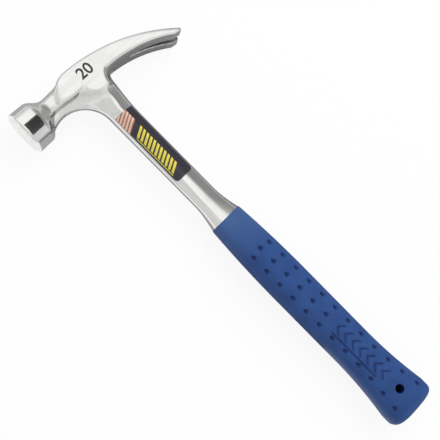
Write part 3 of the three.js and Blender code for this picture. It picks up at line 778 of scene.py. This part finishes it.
def steel_skin(context):
    """Points and faces of the forging: head, neck and shank, and the tang."""
    scene = context.scene
    poll, cheek, claw, shank = (
        scene.hammer_poll, scene.hammer_cheek, scene.hammer_claw, scene.hammer_shank
    )
    origin = head_origin(context)
    sleeve_top = SLEEVE_HIGH.y - origin.y
    shoulder_y = sleeve_top + shank.clearance
    margin = 3 * MM
    grid = Grid(
        (-poll.face_reach - margin, sleeve_top - shank.tang_length - margin, 0.0),
        (claw.reach + margin, poll.radius + margin, poll.radius + margin),
        STEEL_PITCH,
    )
    bar = Shank(poll, cheek, claw, shank, shoulder_y)
    head = joined(head_field(grid, cheek, claw), poll_field(grid, poll), POLL_FILLET)
    tang = tang_field(grid, shank, sleeve_top, 0.0)
    tang = np.maximum(tang, grid.y - shoulder_y - margin)
    field = np.minimum(np.minimum(head, bar.field(grid)), tang).astype(np.float32)
    crisp = soften(field, CRISP_CELLS)
    soft = soften(crisp, SOFT_CELLS)
    way = progress(-grid.x, *SOFT_FRONT) * progress(grid.x, *SOFT_BACK)
    points, quads = grid.skin(mix(crisp, soft, way), True)
    return points + np.array(origin), outward(points, quads)


def sleeve_skin(context):
    """Points and faces of the moulded sleeve, and how deep each point lies in its hollows, for the
    painted shade there.
    """
    scene = context.scene
    origin = head_origin(context)
    sizes = scene.hammer_sleeve
    sleeve = Sleeve(sizes, SLEEVE_LOW.y - origin.y, SLEEVE_HIGH.y - origin.y)
    margin = 2 * MM
    half = sizes.butt_width / 2 + margin
    grid = Grid(
        (-half, sleeve.low_y - margin, 0.0),
        (half, sleeve.high_y + margin, sizes.butt_thickness / 2 + margin),
        SLEEVE_PITCH,
    )
    upper = sleeve.field(grid, scene.hammer_shank, True)
    lower = sleeve.field(grid, scene.hammer_shank, False)
    whole = np.concatenate([lower[:, :, :0:-1], upper], axis=2).astype(np.float32)
    whole = soften(whole, SLEEVE_CELLS)
    grid.low[2] = -grid.pitch * (grid.z.size - 1)
    points, quads = grid.skin(whole, False)
    # Depth of each point inside the plain body, which sets the painted shade in the hollows.
    plain = sleeve.body_field(Points(points))
    return points + np.array(origin), outward(points, quads), np.maximum(-plain, 0.0)


def label_skin(context):
    """Points and faces of the film: a sheet over the ridge with round corners."""
    scene = context.scene
    label = scene.hammer_label
    origin = head_origin(context)
    bar = Shank(
        scene.hammer_poll, scene.hammer_cheek, scene.hammer_claw, scene.hammer_shank,
        SLEEVE_HIGH.y - origin.y + scene.hammer_shank.clearance,
    )
    low, high = LABEL_LOW - origin, LABEL_HIGH - origin
    bend = 1 - np.cos(np.linspace(0.0, math.pi / 2, FILM_CORNER_STEPS))
    middle = np.linspace(low.y + label.corner, high.y - label.head_corner, FILM_ROWS)[1:-1]
    foot, head = label.corner * bend, label.head_corner * bend[::-1]
    ys = np.concatenate([low.y + foot, middle, high.y - head])
    half = (high.x - low.x) / 2
    for radius, inset in ((label.corner, ys - low.y), (label.head_corner, high.y - ys)):
        half = half - radius + np.sqrt(radius**2 - np.clip(radius - inset, 0.0, radius) ** 2)
    across = np.linspace(-1.0, 1.0, FILM_COLUMNS)
    x = (low.x + high.x) / 2 + across[None, :] * half[:, None]
    y = np.broadcast_to(ys[:, None], x.shape)
    height, _ = bar.face(x, y)
    sheets = [
        np.stack([x, y, height + lift], axis=-1).reshape(-1, 3)
        for lift in (label.lift + label.thickness, label.lift)
    ]
    index = np.arange(x.size).reshape(x.shape)
    corners = [index[:-1, :-1], index[:-1, 1:], index[1:, 1:], index[1:, :-1]]
    top = np.stack(corners, axis=-1).reshape(-1, 4)
    rim = np.concatenate([index[0, :-1], index[:-1, -1], index[-1, :0:-1], index[:0:-1, 0]])
    following = np.roll(rim, -1)
    count = x.size
    walls = np.stack([rim, rim + count, following + count, following], axis=-1)
    quads = np.concatenate([top, top[:, ::-1] + count, walls])
    return np.concatenate(sheets) + np.array(origin), quads


# Finishes


def new_material(name):
    """An empty node material with its output, and the shader that feeds it."""
    material = bpy.data.materials.new(name)
    material.use_nodes = True
    nodes = material.node_tree.nodes
    nodes.clear()
    output = nodes.new("ShaderNodeOutputMaterial")
    shader = nodes.new("ShaderNodeBsdfPrincipled")
    material.node_tree.links.new(shader.outputs["BSDF"], output.inputs["Surface"])
    return material, shader


class Tree:
    """Short ways to add nodes to a material or a world."""

    def __init__(self, owner):
        self.nodes = owner.node_tree.nodes
        self.links = owner.node_tree.links

    def put(self, socket, value):
        """Links an output to a socket, or sets the socket to a constant."""
        if isinstance(value, bpy.types.NodeSocket):
            self.links.new(value, socket)
        else:
            socket.default_value = value

    def math(self, operation, *values):
        """One math node."""
        node = self.nodes.new("ShaderNodeMath")
        node.operation = operation
        for socket, value in zip(node.inputs, values):
            self.put(socket, value)
        return node.outputs[0]

    def plus(self, first, second):
        """Sum of two values."""
        return self.math("ADD", first, second)

    def minus(self, first, second):
        """Second value taken from the first."""
        return self.math("SUBTRACT", first, second)

    def times(self, first, second):
        """Product of two values."""
        return self.math("MULTIPLY", first, second)

    def least(self, first, second):
        """Lower of two values."""
        return self.math("MINIMUM", first, second)

    def most(self, first, second):
        """Higher of two values."""
        return self.math("MAXIMUM", first, second)

    def place(self):
        """The point on the surface in the hammer's frame."""
        return self.nodes.new("ShaderNodeTexCoord").outputs["Object"]

    def split(self, vector):
        """X, Y and Z of a vector."""
        node = self.nodes.new("ShaderNodeSeparateXYZ")
        self.links.new(vector, node.inputs[0])
        return node.outputs

    def noise(self, scale, detail, stretch=(1.0, 1.0, 1.0)):
        """Noise in the hammer's frame, with features of about one over the scale in metres."""
        mapping = self.nodes.new("ShaderNodeMapping")
        mapping.inputs["Scale"].default_value = stretch
        self.links.new(self.place(), mapping.inputs["Vector"])
        noise = self.nodes.new("ShaderNodeTexNoise")
        noise.inputs["Scale"].default_value = scale
        noise.inputs["Detail"].default_value = detail
        self.links.new(mapping.outputs["Vector"], noise.inputs["Vector"])
        return noise.outputs["Fac"]

    def attribute(self, name):
        """A number kept on the mesh."""
        node = self.nodes.new("ShaderNodeAttribute")
        node.attribute_name = name
        return node.outputs["Fac"]

    def ramp(self, value, low, high, start, end):
        """Value moved from one range to another, held at the ends."""
        node = self.nodes.new("ShaderNodeMapRange")
        for name, number in (("From Min", low), ("From Max", high), ("To Min", start), ("To Max", end)):
            node.inputs[name].default_value = number
        self.put(node.inputs["Value"], value)
        return node.outputs["Result"]

    def blend(self, way, first, second):
        """Colour part of the way from the first to the second."""
        node = self.nodes.new("ShaderNodeMix")
        node.data_type = "RGBA"
        self.put(node.inputs[0], way)
        for socket, value in ((node.inputs[6], first), (node.inputs[7], second)):
            self.put(socket, value if isinstance(value, bpy.types.NodeSocket) else (*value, 1.0))
        return node.outputs[2]

    def bump(self, height, depth):
        """Normal of small relief, whose height is given in metres."""
        node = self.nodes.new("ShaderNodeBump")
        node.inputs["Distance"].default_value = depth
        self.put(node.inputs["Height"], height)
        return node.outputs["Normal"]


def polished_steel(context):
    """Bright polished steel with polishing lines, faint clouds, worn ends and a dull nail slot."""
    material, shader = new_material("polished_steel")
    tree = Tree(material)
    claw, finish = context.scene.hammer_claw, context.scene.hammer_finish
    tone = finish.steel
    clouds = tree.noise(60.0, 4.0)
    lines = tree.noise(900.0, 3.0, (1.0, 0.06, 1.0))
    x, y, z = tree.split(tree.place())
    on_shank = tree.ramp(y, *STREAK_TURN, 1.0, 0.0)
    on_head = tree.ramp(y, *STREAK_TURN, 0.0, 1.0)
    along_shank = tree.ramp(tree.noise(420.0, 4.0, (1.0, 0.05, 1.0)), 0.48, 0.72, 0.0, 1.0)
    along_head = tree.ramp(tree.noise(420.0, 4.0, (0.05, 1.0, 1.0)), 0.48, 0.72, 0.0, 0.8)
    streaks = tree.times(on_shank, along_shank)
    streaks = tree.plus(streaks, tree.times(on_head, along_head))
    worn = [0.93 * part for part in tone]
    streaked = [0.86 * part for part in tone]
    cloudy = tree.blend(tree.ramp(clouds, 0.35, 0.7, 0.0, 1.0), tone, worn)
    drawn = tree.blend(streaks, cloudy, streaked)
    face = tree.ramp(x, *FACE_WEAR, 1.0, 0.0)
    ends = tree.most(face, tree.ramp(x, *CLAW_WEAR, 0.0, 1.0))
    struck = tree.times(ends, tree.ramp(tree.noise(240.0, 5.0), 0.42, 0.68, 0.05, 0.4))
    drawn = tree.blend(struck, drawn, finish.struck)
    wall = tree.ramp(x, *SLOT_RUN, claw.slot_root_radius, claw.slot_end_width / 2)
    off_middle = tree.math("ABSOLUTE", tree.minus(z, FACE_PLACE.z))
    dull = tree.ramp(tree.minus(off_middle, wall), 0.1 * MM, 0.6 * MM, 1.0, 0.0)
    dull = tree.times(dull, tree.ramp(x, *SLOT_START, 0.0, 1.0))
    tree.put(shader.inputs["Base Color"], tree.blend(dull, drawn, finish.slot))
    shader.inputs["Metallic"].default_value = 1.0
    rough = tree.ramp(clouds, 0.3, 0.7, 0.13, 0.18)
    rough = tree.plus(rough, tree.ramp(lines, 0.3, 0.7, 0.0, 0.05))
    rough = tree.plus(rough, tree.times(tree.most(dull, struck), 0.2))
    tree.put(shader.inputs["Roughness"], rough)
    tree.put(shader.inputs["Normal"], tree.bump(lines, 0.004 * MM))
    return material


def blue_vinyl(context):
    """Moulded vinyl with a satin grain, faint clouds, a painted highlight at the butt's rim, paler
    towards the top, and painted shade in its hollows.
    """
    material, shader = new_material("blue_vinyl")
    tree = Tree(material)
    finish = context.scene.hammer_finish
    clouds = tree.noise(90.0, 5.0)
    grain = tree.noise(1500.0, 3.0)
    tone = tree.blend(tree.ramp(clouds, 0.35, 0.65, 0.0, 1.0), finish.vinyl, finish.vinyl_dark)
    _, y, _ = tree.split(tree.place())
    # Painted highlight along the butt's rim, and paler towards the top, broken up by the clouds.
    at_butt = tree.ramp(y, SLEEVE_LOW.y, SLEEVE_LOW.y + 7 * MM, 0.45, 0.0)
    at_top = tree.ramp(y, SLEEVE_HIGH.y - 36 * MM, SLEEVE_HIGH.y, 0.0, 0.85)
    brightened = tree.most(at_butt, at_top)
    brightened = tree.times(brightened, tree.ramp(clouds, 0.30, 0.60, 0.55, 1.0))
    tone = tree.blend(brightened, tone, finish.vinyl_brightened)
    # Painted shade in the pits, the chevron grooves and the hang hole, darker with depth.
    recess_shade = tree.ramp(tree.attribute("recess_shade"), 0.08 * MM, 0.7 * MM, 0.0, 1.0)
    tree.put(shader.inputs["Base Color"], tree.blend(recess_shade, tone, finish.vinyl_painted_shade))
    shader.inputs["Specular IOR Level"].default_value = 0.25
    tree.put(shader.inputs["Roughness"], tree.ramp(grain, 0.3, 0.7, 0.42, 0.56))
    tree.put(shader.inputs["Normal"], tree.bump(grain, 0.05 * MM))
    return material


def printed_film(context):
    """Dark film with pale slanted bands at its head end, a run of slanted bars and worn edges."""
    scene = context.scene
    label, finish = scene.hammer_label, scene.hammer_finish
    material, shader = new_material("printed_film")
    tree = Tree(material)
    x, y, _ = tree.split(tree.place())
    along = tree.minus(LABEL_HIGH.y, y)
    across = tree.minus(x, LABEL_LOW.x)
    slanted = tree.plus(along, tree.times(across, label.slant))
    repeat = tree.math("FRACT", tree.math("DIVIDE", slanted, label.bar_pitch))
    near = tree.math("GREATER_THAN", across, label.bar_inset)
    far = tree.math("LESS_THAN", across, label.bar_reach)
    bars = tree.math("LESS_THAN", repeat, label.bar_share)
    bars = tree.times(bars, tree.times(near, far))
    rule = tree.math("COMPARE", across, label.rule_inset, label.rule_half)
    bars = tree.most(bars, rule)
    bars = tree.times(bars, tree.math("GREATER_THAN", slanted, label.first_bar * label.bar_pitch))
    bars = tree.times(bars, tree.math("LESS_THAN", slanted, label.last_bar * label.bar_pitch))
    printed = tree.blend(bars, finish.film, finish.yellow)
    stripe = tree.math("FRACT", tree.math("DIVIDE", slanted, label.band_pitch))
    banded = tree.blend(tree.math("LESS_THAN", stripe, label.band_share), finish.cream, finish.rust)
    at_head = tree.math("LESS_THAN", slanted, label.bands)
    printed = tree.blend(tree.times(at_head, far), printed, banded)
    scuffs = tree.noise(700.0, 4.0)
    size = LABEL_HIGH - LABEL_LOW
    sides = tree.least(across, tree.minus(size.x, across))
    ends = tree.least(along, tree.minus(size.y, along))
    ragged = tree.ramp(scuffs, 0.3, 0.7, -0.3 * MM, 0.3 * MM)
    border = tree.plus(tree.least(sides, ends), ragged)
    worn = tree.ramp(border, 0.1 * MM, 0.6 * MM, 0.7, 0.0)
    printed = tree.blend(worn, printed, finish.film_worn)
    tree.put(shader.inputs["Base Color"], printed)
    tree.put(shader.inputs["Roughness"], tree.ramp(scuffs, 0.3, 0.7, 0.28, 0.42))
    return material


def etched_ink(context):
    """Dark etched number."""
    material, shader = new_material("etched_ink")
    tree = Tree(material)
    ink = context.scene.hammer_finish.ink
    mottle = tree.noise(2500.0, 3.0)
    faded = [min(1.0, 2.2 * part) for part in ink]
    tone = tree.blend(tree.ramp(mottle, 0.45, 0.75, 0.0, 1.0), ink, faded)
    tree.put(shader.inputs["Base Color"], tone)
    shader.inputs["Roughness"].default_value = 0.6
    return material


# Operators


class HAMMER_OT_forging(bpy.types.Operator):
    """Adds the forged steel: poll, cheek, claw, neck, shank and tang."""

    bl_idname = "hammer.forging"
    bl_label = "Forging"

    def execute(self, context):
        points, quads = steel_skin(context)
        piece = mesh_object("forged_steel", points, quads, polished_steel(context))
        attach(piece, "root")
        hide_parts("steel_forging")
        return {"FINISHED"}


class HAMMER_OT_sleeve(bpy.types.Operator):
    """Adds the moulded sleeve."""

    bl_idname = "hammer.sleeve"
    bl_label = "Sleeve"

    def execute(self, context):
        points, quads, recess_shade = sleeve_skin(context)
        piece = mesh_object("moulded_sleeve", points, quads, blue_vinyl(context))
        # Depth in the hollows, kept on the mesh for the painted shade there.
        depth = piece.data.attributes.new("recess_shade", "FLOAT", "POINT")
        depth.data.foreach_set("value", recess_shade.astype(np.float32))
        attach(piece, "root")
        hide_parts("grip_sleeve")
        return {"FINISHED"}


class HAMMER_OT_label(bpy.types.Operator):
    """Adds the printed film on the neck."""

    bl_idname = "hammer.label"
    bl_label = "Label"

    def execute(self, context):
        points, quads = label_skin(context)
        piece = mesh_object("printed_label", points, quads, printed_film(context))
        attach(piece, "root")
        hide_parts("neck_label")
        return {"FINISHED"}


class HAMMER_OT_number(bpy.types.Operator):
    """Adds the weight number on the cheek."""

    bl_idname = "hammer.number"
    bl_label = "Weight number"

    def execute(self, context):
        label = context.scene.hammer_label
        words = bpy.data.curves.new("weight_number", "FONT")
        words.body = "20"
        words.align_x = "CENTER"
        words.align_y = "CENTER"
        words.size = label.number_height * FONT_SIZE_PER_HEIGHT
        words.extrude = label.number_thickness / 2
        words.offset = NUMBER_BOLDNESS
        lettering = bpy.data.objects.new("weight_number_outline", words)
        mesh = bpy.data.meshes.new_from_object(lettering)
        bpy.data.objects.remove(lettering)
        mesh.transform(Matrix.Translation(CHEEK_PLACE + NUMBER_SHIFT))
        mesh.materials.clear()
        mesh.materials.append(etched_ink(context))
        piece = bpy.data.objects.new("weight_number", mesh)
        context.scene.collection.objects.link(piece)
        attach(piece, "root")
        return {"FINISHED"}


class HAMMER_OT_studio(bpy.types.Operator):
    """Adds the camera, the floor and the light."""

    bl_idname = "hammer.studio"
    bl_label = "Studio"

    def execute(self, context):
        scene = context.scene
        studio = scene.hammer_studio
        scene.view_settings.view_transform = "Standard"
        self.add_camera(scene, studio)
        self.add_floor(context)
        self.add_cards(scene)
        self.add_light(scene, studio)
        return {"FINISHED"}

    def add_camera(self, scene, studio):
        """A camera that leans to the poll's side, rolled so that the handle runs down to the right."""
        lens = bpy.data.cameras.new("camera")
        lens.lens = studio.lens
        lens.sensor_width = SENSOR_WIDTH
        camera = bpy.data.objects.new("camera", lens)
        back = Vector((-math.sin(studio.lean), 0.0, math.cos(studio.lean)))
        along_x = Vector((math.cos(studio.lean), 0.0, math.sin(studio.lean)))
        along_y = Vector((0.0, 1.0, 0.0))
        right = math.sin(studio.roll) * along_x - math.cos(studio.roll) * along_y
        up = math.cos(studio.roll) * along_x + math.sin(studio.roll) * along_y
        place = Matrix((right, up, back)).transposed().to_4x4()
        place.translation = Vector(studio.target) + studio.distance * back
        camera.matrix_world = place
        scene.collection.objects.link(camera)
        scene.camera = camera

    def add_floor(self, context):
        """A wide pale floor that shows a light shadow, which fades away from the hammer."""
        mesh = flat_mesh("floor", FLOOR_SIZE, FLOOR_SIZE)
        material, shader = new_material("pale_floor")
        tree = Tree(material)
        shader.inputs["Base Color"].default_value = (*context.scene.hammer_finish.floor, 1.0)
        shader.inputs["Roughness"].default_value = MATT
        glow = tree.nodes.new("ShaderNodeEmission")
        paths = tree.nodes.new("ShaderNodeLightPath").outputs
        seen = tree.most(paths["Is Camera Ray"], paths["Is Glossy Ray"])
        both = tree.nodes.new("ShaderNodeMixShader")
        x, y, _ = tree.split(tree.place())
        squares = tree.plus(tree.times(x, x), tree.times(y, y))
        away = tree.math("POWER", squares, 0.5)
        white = tree.ramp(away, *SHADOW_FADE, 1.0 - context.scene.hammer_studio.shadow, 1.0)
        tree.put(both.inputs[0], tree.times(seen, white))
        tree.links.new(shader.outputs["BSDF"], both.inputs[1])
        tree.links.new(glow.outputs["Emission"], both.inputs[2])
        tree.links.new(both.outputs["Shader"], tree.nodes["Material Output"].inputs["Surface"])
        mesh.materials.append(material)
        floor = bpy.data.objects.new("floor", mesh)
        context.scene.collection.objects.link(floor)

    def add_cards(self, scene):
        """Grey and dark cards by the hammer, which only the polished steel shows."""
        for name, tone, place, size in CARDS:
            material, shader = new_material(name)
            shader.inputs["Base Color"].default_value = (tone, tone, tone, 1.0)
            shader.inputs["Roughness"].default_value = MATT
            mesh = flat_mesh(name, *size)
            mesh.materials.append(material)
            card = bpy.data.objects.new(name, mesh)
            card.location = place
            card.visible_camera = False
            card.visible_diffuse = False
            card.visible_shadow = False
            scene.collection.objects.link(card)

    def add_light(self, scene, studio):
        """An even surround, whose reflection is grey at the claw's side and the horizon, and a lamp."""
        world = bpy.data.worlds.new("studio")
        scene.world = world
        world.use_nodes = True
        world.cycles.sampling_method = "NONE"
        tree = Tree(world)
        ground = tree.nodes["Background"]
        ground.inputs["Color"].default_value = (1.0, 1.0, 1.0, 1.0)
        x, y, z = tree.split(tree.nodes.new("ShaderNodeTexCoord").outputs["Generated"])
        claw_side = tree.ramp(x, *CLAW_SIDE_GREY)
        claw_side = tree.plus(claw_side, tree.ramp(z, *CLAW_SIDE_LIFT))
        horizon = tree.ramp(z, *HORIZON_GREY)
        poll_side = tree.ramp(x, *POLL_SIDE_GREY)
        poll_side = tree.most(poll_side, tree.ramp(y, *POLL_SIDE_END))
        butt_side = tree.ramp(y, *BUTT_SIDE_GREY)
        level = tree.least(tree.least(claw_side, poll_side), horizon)
        level = tree.least(level, butt_side)
        paths = tree.nodes.new("ShaderNodeLightPath").outputs
        seen = tree.times(paths["Is Camera Ray"], 1.0 - studio.fill)
        mirrored = tree.times(paths["Is Glossy Ray"], tree.minus(level, studio.fill))
        strength = tree.plus(tree.plus(studio.fill, seen), mirrored)
        tree.put(ground.inputs["Strength"], strength)
        lamp = bpy.data.lights.new("overhead", "AREA")
        lamp.energy = studio.key_power
        lamp.shape = "RECTANGLE"
        lamp.size = LAMP_SIZE
        lamp.size_y = LAMP_SIZE
        light = bpy.data.objects.new("overhead", lamp)
        light.location = LAMP_PLACE
        light.rotation_euler = LAMP_PLACE.to_track_quat("Z", "Y").to_euler()
        light.visible_glossy = False
        scene.collection.objects.link(light)


class HAMMER_PT_sidebar(bpy.types.Panel):
    """Sizes, finishes and the steps that build the hammer."""

    bl_idname = "HAMMER_PT_sidebar"
    bl_label = "Rip Hammer"
    bl_space_type = "VIEW_3D"
    bl_region_type = "UI"
    bl_category = "Rip Hammer"

    def draw(self, context):
        layout = self.layout
        for operator in OPERATORS:
            layout.operator(operator.bl_idname)
        for name, group in SETTINGS.items():
            box = layout.box()
            box.label(text=group.__doc__)
            settings = getattr(context.scene, name)
            for field in group.__annotations__:
                box.prop(settings, field)


OPERATORS = (
    HAMMER_OT_studio,
    HAMMER_OT_forging,
    HAMMER_OT_sleeve,
    HAMMER_OT_label,
    HAMMER_OT_number,
)
CLASSES = (*SETTINGS.values(), *OPERATORS, HAMMER_PT_sidebar)


def register():
    """Adds the classes and the settings to Blender."""
    for item in CLASSES:
        bpy.utils.register_class(item)
    for name, group in SETTINGS.items():
        setattr(bpy.types.Scene, name, PointerProperty(type=group))


def unregister():
    """Takes the settings and the classes away again."""
    for name in SETTINGS:
        delattr(bpy.types.Scene, name)
    for item in reversed(CLASSES):
        bpy.utils.unregister_class(item)


def main():
    """Builds the stage and the hammer."""
    register()
    bpy.ops.hammer.studio()
    bpy.ops.hammer.forging()
    bpy.ops.hammer.sleeve()
    bpy.ops.hammer.label()
    bpy.ops.hammer.number()


if __name__ == "__main__":
    main()
